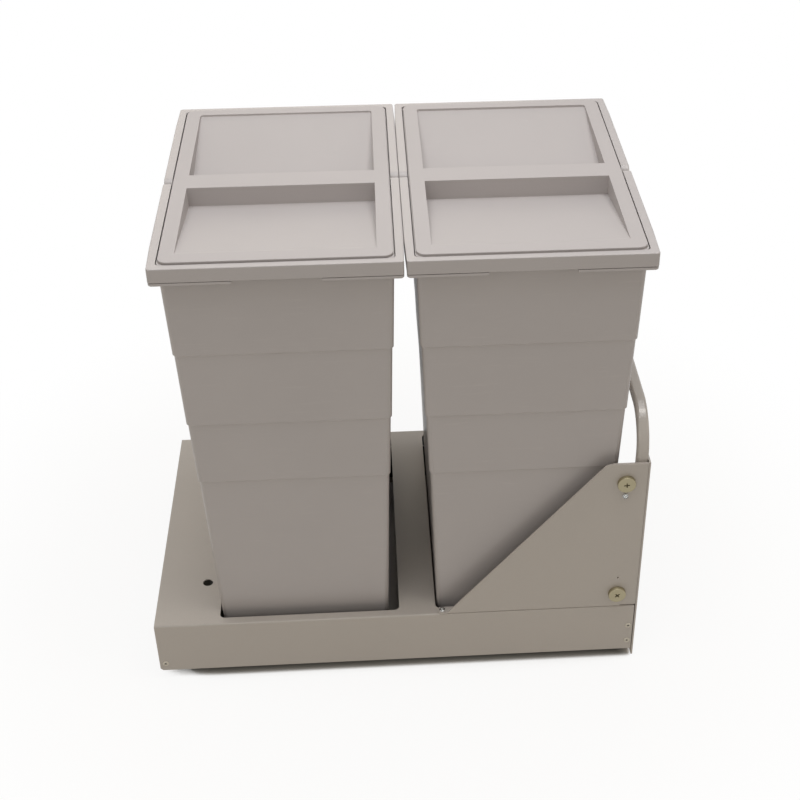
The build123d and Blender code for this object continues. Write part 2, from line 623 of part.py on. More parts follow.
with BuildPart() as clamp_nuts:
    for side, _ in SIDES:
        with BuildSketch(side_plane(side, LEG_FACE - NUT_THICKNESS)):
            with Locations([(CLAMP_X, z) for z in CLAMP_ZS]):
                RegularPolygon(NUT_RADIUS, 6)
                Circle(CLAMP_SHANK_RADIUS + THREAD_PLAY, mode=Mode.SUBTRACT)
        extrude(amount=-side * NUT_THICKNESS)
save(clamp_nuts.part, "clamp_nuts")

with BuildPart() as lock_screws:
    head_face = HALF_WIDTH + SMALL_HEAD_HEIGHT
    for side, _ in SIDES:
        rod_y(CLAMP_X, across(side, LEG_FACE - SCREW_TAIL, HALF_WIDTH), LOCK_Z, SMALL_SHANK_RADIUS)
        rod_y(CLAMP_X, across(side, HALF_WIDTH, head_face), LOCK_Z, SMALL_HEAD_RADIUS)
        cross_recess(CLAMP_X, side, LOCK_Z, head_face, SMALL_CROSS_LENGTH)
save(lock_screws.part, "lock_screws")

# ---------------------------------------------------------------- door frame
LEG_BOTTOM = COVER_TOP + PLATE + BRACKET_FLOOR_PLAY
DOOR_BOTTOM = FLOOR_GAP - DOOR_DROP


def door_bracket(side):
    """Angle: a leg behind the gusset, clamped through upright slots, and a flange for the door."""
    with BuildPart() as bracket:
        leg_ys = across(side, LEG_FACE, GUSSET_FACE)
        block((FLANGE_X - BRACKET_LEG, FLANGE_X), leg_ys, (LEG_BOTTOM, GUSSET_TOP - BRACKET_LEG_DROP))
        flange_ys = across(side, HALF_WIDTH - DOOR_FLANGE_WIDTH, HALF_WIDTH)
        block((FLANGE_X, FLANGE_X + PLATE), flange_ys, (DOOR_BOTTOM, DOOR_TOP))
        with BuildSketch(side_plane(side, LEG_FACE)):
            clamp_radius = CLAMP_SHANK_RADIUS + RIVET_PLAY
            with Locations([(CLAMP_X, z) for z in CLAMP_ZS]):
                SlotCenterToCenter(2 * DOOR_TRAVEL + RIVET_PLAY, 2 * clamp_radius, rotation=90)
            with Locations((CLAMP_X, LOCK_Z)):
                SlotCenterToCenter(2 * DOOR_TRAVEL + RIVET_PLAY, 2 * TIP_SCREW_HOLE, rotation=90)
        extrude(amount=-side * PLATE, mode=Mode.SUBTRACT)
        with BuildSketch(Plane.YZ.offset(FLANGE_X)):
            with Locations([(side * DOOR_SLOT_Y, z) for z in DOOR_SLOT_ZS]):
                SlotOverall(DOOR_SLOT_LENGTH, 2 * DOOR_SLOT_RADIUS)
        extrude(amount=PLATE, mode=Mode.SUBTRACT)
    return bracket.part


for side, word in SIDES:
    save(door_bracket(side), f"door_bracket_{word}")

with BuildPart() as arch_handle:
    arch_x = FLANGE_X - TUBE_SIDE / 2
    arch_y = LEG_FACE - TUBE_SIDE / 2
    arch_bottom = GUSSET_TOP - ARCH_LEG_DROP
    arch_top = GUSSET_TOP + ARCH_RISE - TUBE_SIDE / 2
    with BuildLine():
        FilletPolyline(
            (arch_x, -arch_y, arch_bottom),
            (arch_x, -arch_y, arch_top),
            (arch_x, arch_y, arch_top),
            (arch_x, arch_y, arch_bottom),
            radius=ARCH_BEND,
        )
    with BuildSketch(Plane.XY.offset(arch_bottom)):
        with Locations((arch_x, -arch_y)):
            RectangleRounded(TUBE_SIDE, TUBE_SIDE, TUBE_CORNER)
            bore_side = TUBE_SIDE - 2 * TUBE_WALL
            RectangleRounded(bore_side, bore_side, TUBE_CORNER - TUBE_WALL, mode=Mode.SUBTRACT)
    sweep()
save(arch_handle.part, "arch_handle")

# ---------------------------------------------------------------- bins
PIVOT_Z = RIM_TOP - (APRON_HEIGHT - HANDLE_GAP) / 2
PIVOT_END_RADIUS = (APRON_HEIGHT - HANDLE_GAP) / 2
PIVOT_OFFSET = PIVOT_END_RADIUS + SEAM_GAP / 2
LID_SEAT = RIM_TOP + LID_RISE - LID_PLATE


def tub_body(x, thickness, bottom):
    """The stepped, tapered body of a bin, drawn in by a wall's thickness."""
    levels = [LID_SEAT, LIP_BOTTOM]
    for depth in TIER_DEPTHS:
        levels += [RIM_TOP - depth, RIM_TOP - depth - LEDGE_HEIGHT]
    levels.append(bottom)
    with BuildPart() as body:
        for z in levels:
            inset = bin_inset(z) + thickness
            with BuildSketch(Plane.XY.offset(z)):
                with Locations((x, 0)):
                    length = BIN_LENGTH - 2 * inset
                    width = BIN_WIDTH - 2 * inset
                    RectangleRounded(length, width, BIN_CORNER - thickness)
        loft(ruled=True)
    return body.part


def bin_tub(x):
    """Open tub with an outward lip for the handles, a bead for the lid and four pivot pins."""
    outside = tub_body(x, 0, TRAY_TOP)
    cavity = tub_body(x, BIN_WALL, TRAY_TOP + BIN_FLOOR)
    bead_corner = BIN_CORNER + LIP_OVERHANG - BEAD_INSET
    with BuildPart() as tub:
        with BuildSketch(Plane.XY.offset(LIP_BOTTOM)):
            with Locations((x, 0)):
                RectangleRounded(BIN_LENGTH, BIN_WIDTH, LIP_CORNER)
        extrude(amount=LIP_THICKNESS)
        fillet(tub.faces().sort_by(Axis.Z)[0].edges(), LIP_EDGE)
        add(outside)
        with BuildSketch(Plane.XY.offset(LID_SEAT)):
            with Locations((x, 0)):
                bead = (BIN_LENGTH - 2 * BEAD_INSET, BIN_WIDTH - 2 * BEAD_INSET)
                RectangleRounded(*bead, bead_corner)
        extrude(amount=-NECK_BEAD_HEIGHT)
        recess_xs = (x - LIP_RECESS_LENGTH / 2, x + LIP_RECESS_LENGTH / 2)
        for side, _ in SIDES:
            recess_ys = across(side, BIN_WIDTH / 2 - LIP_RECESS_DEPTH, BIN_WIDTH / 2)
            block(recess_xs, recess_ys, (LIP_BOTTOM, LIP_TOP), mode=Mode.SUBTRACT)
        add(cavity, mode=Mode.SUBTRACT)
        for way in (-1, 1):
            neck = x + way * (BIN_LENGTH / 2 - LIP_OVERHANG)
            tip = x + way * (BIN_LENGTH / 2 + HANDLE_SPLAY - PIVOT_END_WALL - PIVOT_END_PLAY)
            for side, _ in SIDES:
                y = side * PIVOT_OFFSET
                rod_x((neck, tip), y, PIVOT_Z, PIVOT_RADIUS)
    return tub.part


def carry_handle(x, side):
    """U-shaped handle that lies on the bin's lip. Past its corners the arms stand out a little."""
    pivot_y = side * PIVOT_OFFSET
    outer_y = side * BIN_WIDTH / 2
    half = BIN_LENGTH / 2
    splayed = half + HANDLE_SPLAY
    shoulder_y = outer_y - side * HANDLE_SHOULDER
    bottom = LIP_TOP + HANDLE_GAP
    with BuildPart() as handle:
        with BuildSketch(Plane.XY.offset(bottom)):
            with BuildLine():
                Polyline(
                    (x - half, outer_y),
                    (x - splayed, shoulder_y),
                    (x - splayed, pivot_y),
                    (x + splayed, pivot_y),
                    (x + splayed, shoulder_y),
                    (x + half, outer_y),
                    close=True,
                )
            make_face()
        extrude(amount=RIM_TOP - bottom)
        corners = handle.edges().filter_by(Axis.Z).group_by(Axis.Y)[0 if side < 0 else -1]
        fillet(corners, HANDLE_CORNER)
        rod_x((x - splayed, x + splayed), pivot_y, PIVOT_Z, PIVOT_END_RADIUS)
        top_edges = handle.faces().sort_by(Axis.Z)[-1].edges()
        outer_span = sorted((pivot_y + side * HANDLE_EDGE, outer_y))
        fillet(top_edges.filter_by_position(Axis.Y, *outer_span), HANDLE_EDGE)
        inner_half = half - HANDLE_BAND
        inner_ys = (pivot_y - side * PIVOT_OFFSET, outer_y - side * HANDLE_BAND)
        inner_xs = (x - inner_half, x + inner_half)
        block(inner_xs, inner_ys, (bottom - HANDLE_WALL, RIM_TOP + HANDLE_WALL), mode=Mode.SUBTRACT)
        inner_y = inner_ys[1]
        inner_corners = handle.edges().filter_by(Axis.Z).filter_by_position(Axis.Y, inner_y, inner_y)
        fillet(inner_corners, HANDLE_INNER_CORNER)
        hollow_half = half - HANDLE_WALL
        hollow_ys = (pivot_y + side * HANDLE_BOSS, outer_y - side * HANDLE_WALL)
        hollow_xs = (x - hollow_half, x + hollow_half)
        block(hollow_xs, hollow_ys, (bottom, RIM_TOP - HANDLE_WALL), mode=Mode.SUBTRACT)
        for way in (-1, 1):
            bore_xs = (x + way * inner_half, x + way * (splayed - PIVOT_END_WALL))
            rod_x(bore_xs, pivot_y, PIVOT_Z, PIVOT_RADIUS + PIVOT_PLAY, mode=Mode.SUBTRACT)
    return handle.part


def bin_lid(x):
    """Flat lid with a skirt inside the bin's neck and a wedge-shaped recess each side of a bar."""
    top = RIM_TOP + LID_RISE
    half_x = BIN_LENGTH / 2 - LID_SETBACK
    half_y = BIN_WIDTH / 2 - LID_SETBACK
    recess_half = half_x - LID_SIDE_BORDER
    bar_near = LID_BAR_SHIFT - LID_BAR_WIDTH / 2
    bar_far = LID_BAR_SHIFT + LID_BAR_WIDTH / 2
    near_end = -half_y + LID_NEAR_BORDER
    far_end = half_y - LID_FAR_BORDER
    deep = top - LID_RECESS_DEPTH
    wall = LID_RECESS_WALL
    near_ramp = near_end + LID_NEAR_RAMP
    ramp_foot = LID_SEAT + wall
    near_outline = [(bar_near, top), (bar_near, deep), (near_ramp, ramp_foot), (near_end, top)]
    far_outline = [(bar_far, top), (bar_far, deep), (far_end, top - LID_RECESS_STEP), (far_end, top)]
    near_pan = [(bar_near + wall, LID_SEAT), (bar_near + wall, deep - wall)]
    near_pan += [(bar_near, deep - wall), (near_ramp, LID_SEAT)]
    far_foot = top - LID_RECESS_STEP - wall
    far_pan = [(bar_far - wall, LID_SEAT), (bar_far - wall, deep - wall), (bar_far, deep - wall)]
    far_pan += [(far_end, far_foot), (far_end + wall, far_foot), (far_end + wall, LID_SEAT)]
    neck_inset = LIP_OVERHANG + BIN_WALL + LID_SKIRT_PLAY
    skirt = (BIN_LENGTH - 2 * neck_inset, BIN_WIDTH - 2 * neck_inset)
    with BuildPart() as lid:
        with BuildSketch(Plane.XY.offset(LID_SEAT)):
            with Locations((x, 0)):
                RectangleRounded(2 * half_x, 2 * half_y, LID_CORNER)
        extrude(amount=LID_PLATE)
        fillet(lid.faces().sort_by(Axis.Z)[-1].edges(), LID_EDGE)
        with BuildSketch(Plane.XY.offset(LID_SEAT)):
            with Locations((x, 0)):
                RectangleRounded(*skirt, BIN_CORNER)
                inner = [size - 2 * LID_SKIRT_WALL for size in skirt]
                RectangleRounded(*inner, BIN_CORNER - LID_SKIRT_WALL, mode=Mode.SUBTRACT)
        extrude(amount=-LID_SKIRT_HEIGHT)
        pan_half = recess_half + wall
        for outline in (near_pan, far_pan):
            with BuildSketch(Plane.YZ.offset(x - pan_half)):
                with BuildLine():
                    Polyline(*outline, close=True)
                make_face()
            extrude(amount=2 * pan_half)
        for outline in (near_outline, far_outline):
            with BuildSketch(Plane.YZ.offset(x - recess_half)):
                with BuildLine():
                    Polyline(*outline, close=True)
                make_face()
            extrude(amount=2 * recess_half, mode=Mode.SUBTRACT)
        step_corners = lid.edges().filter_by(Axis.Z).filter_by_position(Axis.Y, far_end, far_end)
        fillet(step_corners, LID_RECESS_CORNER)
    return lid.part


for x, place in BINS:
    save(bin_tub(x), f"{place}_bin")
    save(bin_lid(x), f"{place}_lid")
    for side, word in SIDES:
        save(carry_handle(x, side), f"{place}_bin_handle_{word}")
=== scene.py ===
# %% [markdown]
# # A pull-out frame with two lidded waste bins
# The object is a folded steel frame that runs on two slides in a kitchen base cabinet. It carries two
# stepped plastic bins with lids, and a door frame with an arched handle at its front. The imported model
# gives the construction and the motion. This lesson adds what the eye judges: moulded edges, fastener
# heads, paint, plastic and plated steel, each made from nodes alone.

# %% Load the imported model
import json
import math

import bmesh
import bpy
from mathutils import Matrix, Vector


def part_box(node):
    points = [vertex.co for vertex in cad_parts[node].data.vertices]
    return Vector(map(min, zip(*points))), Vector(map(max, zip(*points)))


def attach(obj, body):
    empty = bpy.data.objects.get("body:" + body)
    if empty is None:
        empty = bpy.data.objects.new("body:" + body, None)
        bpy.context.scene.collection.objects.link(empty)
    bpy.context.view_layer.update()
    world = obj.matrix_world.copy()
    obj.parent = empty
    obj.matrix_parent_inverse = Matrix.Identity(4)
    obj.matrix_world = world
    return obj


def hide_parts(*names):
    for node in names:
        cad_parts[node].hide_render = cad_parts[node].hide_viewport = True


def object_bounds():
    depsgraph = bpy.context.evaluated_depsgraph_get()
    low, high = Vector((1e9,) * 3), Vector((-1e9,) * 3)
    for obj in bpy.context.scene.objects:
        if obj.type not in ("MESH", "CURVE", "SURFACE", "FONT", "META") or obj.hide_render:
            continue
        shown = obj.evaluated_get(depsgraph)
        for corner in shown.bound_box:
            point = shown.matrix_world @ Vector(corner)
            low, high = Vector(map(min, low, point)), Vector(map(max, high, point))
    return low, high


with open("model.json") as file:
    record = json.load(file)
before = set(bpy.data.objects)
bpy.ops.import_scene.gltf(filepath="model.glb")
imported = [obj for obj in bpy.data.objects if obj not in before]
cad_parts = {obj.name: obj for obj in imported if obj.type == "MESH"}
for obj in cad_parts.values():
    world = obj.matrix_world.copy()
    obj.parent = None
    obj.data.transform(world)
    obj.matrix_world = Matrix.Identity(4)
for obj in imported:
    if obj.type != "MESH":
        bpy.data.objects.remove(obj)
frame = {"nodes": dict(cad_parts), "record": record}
cad_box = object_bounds()
scene = bpy.context.scene
MM = 0.001
EVEN = (1.0, 1.0, 1.0)
SIDES = ("near", "far")
WAYS = {"near": -1, "far": 1}
SHARP_ANGLE = math.radians(35)
print("CAD box", [[round(value, 4) for value in corner] for corner in cad_box])

# %% [markdown]
# ## Shader maths that reads like Python
# A material is a graph of nodes. Wiring every multiplication by hand hides the idea, so one small class
# wraps an output socket and gives it the usual operators. A second class holds the material itself and
# makes every other kind of node through one method, which sets a node's settings first, because they
# decide which sockets it has.

# %% A socket with operators
class Wire:
    """One output socket of a finish. Sums and products of wires become Math nodes."""

    def __init__(self, finish, socket):
        self.finish = finish
        self.socket = socket

    def maths(self, operation, first, second):
        return self.finish.add("Math", {"operation": operation}, {0: first, 1: second})

    def highest(self, *others):
        """The greatest of this wire and others."""
        top = self
        for other in others:
            top = self.maths("MAXIMUM", top, other)
        return top

    def __add__(self, other):
        return self.maths("ADD", self, other)

    __radd__ = __add__

    def __sub__(self, other):
        return self.maths("SUBTRACT", self, other)

    def __mul__(self, other):
        return self.maths("MULTIPLY", self, other)


# %% A material under construction
class Finish:
    """A material, or a world, made of nodes, with one method for every kind of node."""

    def __init__(self, owner):
        self.material = owner
        owner.use_nodes = True
        self.tree = owner.node_tree
        self.tree.nodes.clear()

    def add(self, kind, settings=None, sockets=None, output=0):
        node = self.tree.nodes.new("ShaderNode" + kind)
        for key, value in (settings or {}).items():
            if key == "stops":
                self.set_stops(node.color_ramp, value)
            else:
                setattr(node, key, value)
        for key, value in (sockets or {}).items():
            if isinstance(value, Wire):
                self.tree.links.new(value.socket, node.inputs[key])
            else:
                node.inputs[key].default_value = value
        return None if output is None else Wire(self, node.outputs[output])

    @staticmethod
    def set_stops(ramp, stops):
        while len(ramp.elements) > len(stops):
            ramp.elements.remove(ramp.elements[-1])
        while len(ramp.elements) < len(stops):
            ramp.elements.new(1.0)
        for element, (position, value) in zip(ramp.elements, stops):
            element.position = position
            element.color = (value, value, value, 1.0)

    def places(self, stretch=EVEN):
        """Object coordinates in metres, stretched for a grain that has a direction."""
        coordinates = self.add("TexCoord", output="Object")
        return self.add("Mapping", {}, {"Vector": coordinates, "Scale": stretch})

    def noise(self, where, scale, detail=2.0, roughness=0.5):
        """Soft noise from 0 to 1, with this many features in a metre."""
        sockets = {"Vector": where, "Scale": scale, "Detail": detail, "Roughness": roughness}
        return self.add("TexNoise", {}, sockets)

    def rise(self, value, low, high):
        """A smooth rise from 0 at low to 1 at high."""
        sockets = {"Value": value, "From Min": low, "From Max": high}
        return self.add("MapRange", {"interpolation_type": "SMOOTHSTEP"}, sockets)

    def steps(self, value, *stops):
        """A ramp through (position, grey) stops."""
        return self.add("ValToRGB", {"stops": stops}, {"Fac": value})

    def blend(self, share, first, second):
        """A mix of two colours."""
        settings = {"data_type": "RGBA", "blend_type": "MIX"}
        return self.add("Mix", settings, {0: share, 6: first, 7: second}, output=2)

    def bump(self, height, depth, strength=1.0):
        """Surface relief of this depth in metres."""
        return self.add("Bump", {}, {"Height": height, "Distance": depth, "Strength": strength})

    def show(self, surface, kind="OutputMaterial"):
        """Link a shader to the output and return the material."""
        self.add(kind, {}, {"Surface": surface}, output=None)
        return self.material

    def close(self, **sockets):
        """Finish with one Principled shader and return the material."""
        names = {name.replace("_", " "): value for name, value in sockets.items()}
        return self.show(self.add("BsdfPrincipled", {}, names))


def tint(colour, level=1.0):
    """A linear colour, lightened or darkened by level."""
    red, green, blue = colour
    return (red * level, green * level, blue * level, 1.0)


def new_finish(name):
    return Finish(bpy.data.materials.new(name))


# %% [markdown]
# ## Moulded polypropylene
# The bins, their carry handles and the lids are one grey plastic with a fine matt grain. Such mouldings
# are never one flat colour: the melt leaves broad cloudy areas, and use leaves fine scuffs. A colour
# alone would look like paint, so a cloudy noise shades the colour by a few per cent, a stretched noise
# gives sparse scuffs that are lighter and rougher, and a fine noise makes the grain as bump. The bins
# also have a faint smooth skin, a coat that lightens their sides where they are seen at a glancing angle.

# %% Plastic
GRAIN_PER_METRE = 1400.0
GRAIN_DEPTH = 0.04 * MM
GRAIN_STRENGTH = 0.6
MELT_PER_METRE = 9.0
MELT_CONTRAST = 0.045
SCUFFS_PER_METRE = 26.0
SCUFF_STRETCH = (1.0, 1.0, 14.0)
SCUFF_RAMP = ((0.60, 0.0), (0.74, 1.0))
SCUFF_TINT = 1.22
PLASTIC_SPECULAR = 0.42
MELT_ROUGHNESS = 0.08
SCUFF_ROUGHNESS = 0.10
SKIN_ROUGHNESS = 0.20


def moulded_plastic(name, colour, roughness, scuff_level, skin_weight):
    """Grey plastic. Its two levels say how much the scuffs and the smooth skin show."""
    finish = new_finish(name)
    where = finish.places()
    clouds = finish.noise(where, MELT_PER_METRE, detail=3.0, roughness=0.55)
    along = finish.places(SCUFF_STRETCH)
    scratches = finish.noise(along, SCUFFS_PER_METRE, detail=4.0, roughness=0.6)
    scuffs = finish.steps(scratches, *SCUFF_RAMP)
    grain = finish.noise(where, GRAIN_PER_METRE, detail=1.0)
    dark, light = tint(colour, 1.0 - MELT_CONTRAST), tint(colour, 1.0 + MELT_CONTRAST)
    shaded = finish.blend(clouds, dark, light)
    return finish.close(
        Base_Color=finish.blend(scuffs * scuff_level, shaded, tint(colour, SCUFF_TINT)),
        Roughness=roughness + clouds * MELT_ROUGHNESS + scuffs * SCUFF_ROUGHNESS,
        Specular_IOR_Level=PLASTIC_SPECULAR,
        Coat_Weight=skin_weight,
        Coat_Roughness=SKIN_ROUGHNESS,
        Normal=finish.bump(grain, GRAIN_DEPTH, GRAIN_STRENGTH),
    )


BIN_COLOUR = (0.392, 0.361, 0.348)
LID_COLOUR = (0.398, 0.366, 0.354)
bin_plastic = moulded_plastic(
    "bin_plastic", BIN_COLOUR, roughness=0.50, scuff_level=0.25, skin_weight=0.30
)
lid_plastic = moulded_plastic(
    "lid_plastic", LID_COLOUR, roughness=0.54, scuff_level=0.15, skin_weight=0.0
)
print("plastics", bin_plastic.name, lid_plastic.name)

# %% [markdown]
# ## Powder-coated steel
# The cover, the tray, the side plates and the door frame are folded sheet under a warm grey powder coat.
# Its signs are a shallow orange peel, very small dark flecks, sparse paler rub marks and a satin sheen.
# The arched handle is smoother, so its bends carry highlights. The rivet heads take a paler copy of the
# coat, a painted highlight for their lit domes. The rails and crossbars on the floor are coated
# near-black, a colour that also serves as painted shade for the dark seen through the cover's openings.

# %% Powder coat
PAINT_COLOUR = (0.424, 0.385, 0.345)
# Near-black for the floor rails and crossbars, which also serves as painted shade for the dark under the
# cover.
BLACK_AND_SHADE_COLOUR = (0.045, 0.043, 0.041)
# A paler copy of the paint colour: a painted highlight on the rivet domes.
RIVET_HIGHLIGHT_COLOUR = (0.54, 0.50, 0.42)
DUST_PER_METRE = 7.0
DUST_CONTRAST = 0.05
FLECKS_PER_METRE = 2600.0
FLECK_RAMP = ((0.35, 0.16), (0.65, 0.0))
FLECK_TINT = 0.55
PEEL_PER_METRE = 520.0
PEEL_DEPTH = 0.06 * MM
PEEL_STRENGTH = 0.5
MARKS_PER_METRE = 60.0
MARK_RAMP = ((0.66, 0.0), (0.78, 1.0))
MARK_TINT = 1.35
MARK_SHARE = 0.18
PAINT_SPECULAR = 0.5
PEEL_ROUGHNESS = 0.10
MARK_SHINE = 0.05


def powder_coat(name, colour, roughness):
    """Baked paint with orange peel, flecks and sparse lighter rub marks."""
    finish = new_finish(name)
    where = finish.places()
    clouds = finish.noise(where, DUST_PER_METRE, detail=3.0)
    flecks = finish.noise(where, FLECKS_PER_METRE, detail=0.0)
    peel = finish.noise(where, PEEL_PER_METRE)
    rubbed = finish.noise(where, MARKS_PER_METRE, detail=5.0, roughness=0.7)
    marks = finish.steps(rubbed, *MARK_RAMP)
    dark, light = tint(colour, 1.0 - DUST_CONTRAST), tint(colour, 1.0 + DUST_CONTRAST)
    shaded = finish.blend(clouds, dark, light)
    flecked = finish.blend(finish.steps(flecks, *FLECK_RAMP), shaded, tint(colour, FLECK_TINT))
    return finish.close(
        Base_Color=finish.blend(marks * MARK_SHARE, flecked, tint(colour, MARK_TINT)),
        Roughness=roughness + peel * PEEL_ROUGHNESS - marks * MARK_SHINE,
        Specular_IOR_Level=PAINT_SPECULAR,
        Normal=finish.bump(peel, PEEL_DEPTH, PEEL_STRENGTH),
    )


warm_paint = powder_coat("warm_grey_powder_coat", PAINT_COLOUR, 0.36)
arch_paint = powder_coat("glossy_powder_coat", PAINT_COLOUR, 0.17)
# Paler rivet heads: a painted highlight for their lit domes.
rivet_painted_highlight = powder_coat("rivet_painted_highlight", RIVET_HIGHLIGHT_COLOUR, 0.25)
# Black coat that is partly painted shade for what is seen through the cover's openings.
black_coat_and_painted_shade = powder_coat("black_electrocoat_and_painted_shade", BLACK_AND_SHADE_COLOUR, 0.45)
paints = (warm_paint, arch_paint, rivet_painted_highlight, black_coat_and_painted_shade)
print("paints", [paint.name for paint in paints])

# %% [markdown]
# ## Plated steel
# Slides, carriers, nuts, balls and screws are bare or plated steel, so the metal itself reflects. Rolling
# leaves fine lines along a strip, and zinc leaves faint pale clouds. Both change roughness more than
# colour. Turned and pressed parts have no direction, so their lines aren't stretched.

# %% Plated steel
ROLLED = (1.0, 40.0, 40.0)
LINES_PER_METRE = 45.0
LINE_DEPTH = 0.02 * MM
LINE_STRENGTH = 0.35
LINE_ROUGHNESS = 0.12
CRYSTALS_PER_METRE = 38.0
CRYSTAL_TINTS = (0.84, 1.08)
CRYSTAL_ROUGHNESS = 0.10


def plated_steel(name, colour, roughness, stretch=EVEN):
    """Clouded metal with fine lines."""
    finish = new_finish(name)
    where = finish.places()
    rolled = finish.noise(finish.places(stretch), LINES_PER_METRE, detail=3.0, roughness=0.6)
    clouds = finish.noise(where, CRYSTALS_PER_METRE, detail=4.0, roughness=0.65)
    dark, light = (tint(colour, level) for level in CRYSTAL_TINTS)
    return finish.close(
        Base_Color=finish.blend(clouds, dark, light),
        Metallic=1.0,
        Roughness=roughness + rolled * LINE_ROUGHNESS + clouds * CRYSTAL_ROUGHNESS,
        Normal=finish.bump(rolled, LINE_DEPTH, LINE_STRENGTH),
    )


zinc = plated_steel("zinc_plate", (0.62, 0.63, 0.64), 0.30, ROLLED)
slide_zinc = plated_steel("slide_zinc", (0.58, 0.59, 0.60), 0.24, ROLLED)
ball_steel = plated_steel("polished_balls", (0.72, 0.72, 0.74), 0.08)
yellow_zinc = plated_steel("yellow_zinc", (0.352, 0.309, 0.203), 0.36)
bright_screw = plated_steel("bright_screw", (0.66, 0.66, 0.64), 0.08)
# Very dark steel: a real mandrel, coloured as painted shade of the rivet's hollow.
mandrel_in_painted_shade = plated_steel("mandrel_in_painted_shade", (0.16, 0.15, 0.14), 0.45)
metals = (zinc, slide_zinc, ball_steel, yellow_zinc, bright_screw, mandrel_in_painted_shade)
print("metals", [metal.name for metal in metals])

# %% [markdown]
# ## Giving the carried-over solids their finish
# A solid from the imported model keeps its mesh. It takes a finish through its material slots, and three
# modifiers give its razor edges the small radius of real sheet and mouldings: Weld joins the loose
# triangles, Decimate joins triangles that lie in one plane, and Bevel rounds what is left.

# %% Finish and soften the solids
WELD_DISTANCE = 0.01 * MM
FLAT_ANGLE = math.radians(0.5)


def dress(node, material):
    """Give a carried-over solid a finish."""
    solid = frame["nodes"][node]
    solid.data.materials.clear()
    solid.data.materials.append(material)


def soften(node, radius, segments):
    """Round a carried-over solid's sharp edges."""
    solid = frame["nodes"][node]
    weld = solid.modifiers.new("weld", "WELD")
    weld.merge_threshold = WELD_DISTANCE
    flats = solid.modifiers.new("flats", "DECIMATE")
    flats.decimate_type = "DISSOLVE"
    flats.angle_limit = FLAT_ANGLE
    bevel = solid.modifiers.new("edges", "BEVEL")
    bevel.width = radius
    bevel.segments = segments
    bevel.limit_method = "ANGLE"
    bevel.angle_limit = SHARP_ANGLE
    bevel.harden_normals = True


SLOT_FINISH = {
    "painted_steel": warm_paint,
    # Rails and crossbars: a black coat that also serves as painted shade.
    "dark_steel": black_coat_and_painted_shade,
    "zinc_steel": zinc,
    "slide_steel": slide_zinc,
    "ball_steel": ball_steel,
    "yellow_zinc": yellow_zinc,
    "grey_plastic": bin_plastic,
    "lid_plastic": lid_plastic,
}
for entry in frame["record"]["subparts"]:
    dress(entry["node"], SLOT_FINISH[entry["material_slot"]])
dress("arch_handle", arch_paint)

# %% Soften the sheet metal and the mouldings
SHEET_EDGE = 0.3 * MM
SHEET_SEGMENTS = 2
MOULDED_EDGE = 0.6 * MM
MOULDED_SEGMENTS = 3
PLACES = ("rear", "front")
SHEET_NODES = ["frame_cover", "front_crosspiece", "bin_tray", "clamp_nuts", "rail_rivets"]
SHEET_NODES += ["floor_crossbar_rear", "floor_crossbar_front", "slide_inner_rivets"]
for side in SIDES:
    SHEET_NODES += [f"side_gusset_{side}", f"door_bracket_{side}", f"floor_rail_{side}"]
    SHEET_NODES += [f"slide_{member}_{side}" for member in ("outer", "middle", "inner", "carrier")]
for node in SHEET_NODES:
    soften(node, SHEET_EDGE, SHEET_SEGMENTS)
MOULDED_NODES = [f"{place}_{part}" for place in PLACES for part in ("bin", "lid")]
MOULDED_NODES += [f"{place}_bin_handle_{side}" for place in PLACES for side in SIDES]
for node in MOULDED_NODES:
    soften(node, MOULDED_EDGE, MOULDED_SEGMENTS)
print("softened", SHEET_NODES, MOULDED_NODES)

# %% [markdown]
# ## Screws with a cross recess
# The door frame is clamped by four large disc heads. Small pan heads lock it and hold the side plates.
# From close by, what tells a screw from a button is its cross recess. Cutting it with a boolean leaves
# a poor mesh, so the head starts as a square sheet that is cut along the lines of the cross. The cross
# sinks, and the square's outline then grows outwards, ring by ring, into the round head.

# %% A screw head
SQUARE_SHARE = 0.68
CROSS_TAPER = 0.72
ROUNDING = 0.3


def linked(name, shape):
    """Put a finished bmesh into the scene."""
    mesh = bpy.data.meshes.new(name)
    shape.to_mesh(mesh)
    shape.free()
    made = bpy.data.objects.new(name, mesh)
    scene.collection.objects.link(made)
    return made


def cut_lines(shape, axis, places):
    """Cut everything along planes across one axis."""
    for place in places:
        point, normal = Vector(), Vector()
        point[axis] = place
        normal[axis] = 1.0
        everything = shape.verts[:] + shape.edges[:] + shape.faces[:]
        bmesh.ops.bisect_plane(shape, geom=everything, plane_co=point, plane_no=normal)


def outline(shape):
    """The open edges round a sheet."""
    return [edge for edge in shape.edges if edge.is_boundary]


def grow(shape, edges, radius, height):
    """Extrude a loop and press it into a circle of this radius at this height."""
    grown = bmesh.ops.extrude_edge_only(shape, edges=edges)["geom"]
    corners = [item for item in grown if isinstance(item, bmesh.types.BMVert)]
    for corner in corners:
        flat = corner.co.xy.normalized() * radius
        corner.co = (flat.x, flat.y, height)
    return [item for item in grown if isinstance(item, bmesh.types.BMEdge) and item.is_boundary]


def cross_sheet(shape, height, length, width, depth):
    """A square sheet at this height with a tapered cross sunk into it."""
    half = SQUARE_SHARE * length
    bmesh.ops.create_grid(shape, x_segments=1, y_segments=1, size=half)
    bmesh.ops.translate(shape, verts=shape.verts, vec=(0, 0, height))
    lines = [sign * part / 2 for sign in (-1, 1) for part in (width, length)]
    for axis in (0, 1):
        cut_lines(shape, axis, lines)
    cross = []
    for face in shape.faces:
        near, far = sorted(abs(value) for value in face.calc_center_median().xy)
        if near < width / 2 and far < length / 2:
            cross.append(face)
    sunk = bmesh.ops.extrude_face_region(shape, geom=cross)["geom"]
    bmesh.ops.delete(shape, geom=cross, context="FACES")
    floor_corners = [item for item in sunk if isinstance(item, bmesh.types.BMVert)]
    bmesh.ops.translate(shape, verts=floor_corners, vec=(0, 0, -depth))
    bmesh.ops.scale(shape, verts=floor_corners, vec=(CROSS_TAPER, CROSS_TAPER, 1.0))
    bmesh.ops.subdivide_edges(shape, edges=outline(shape), cuts=1)
    return half


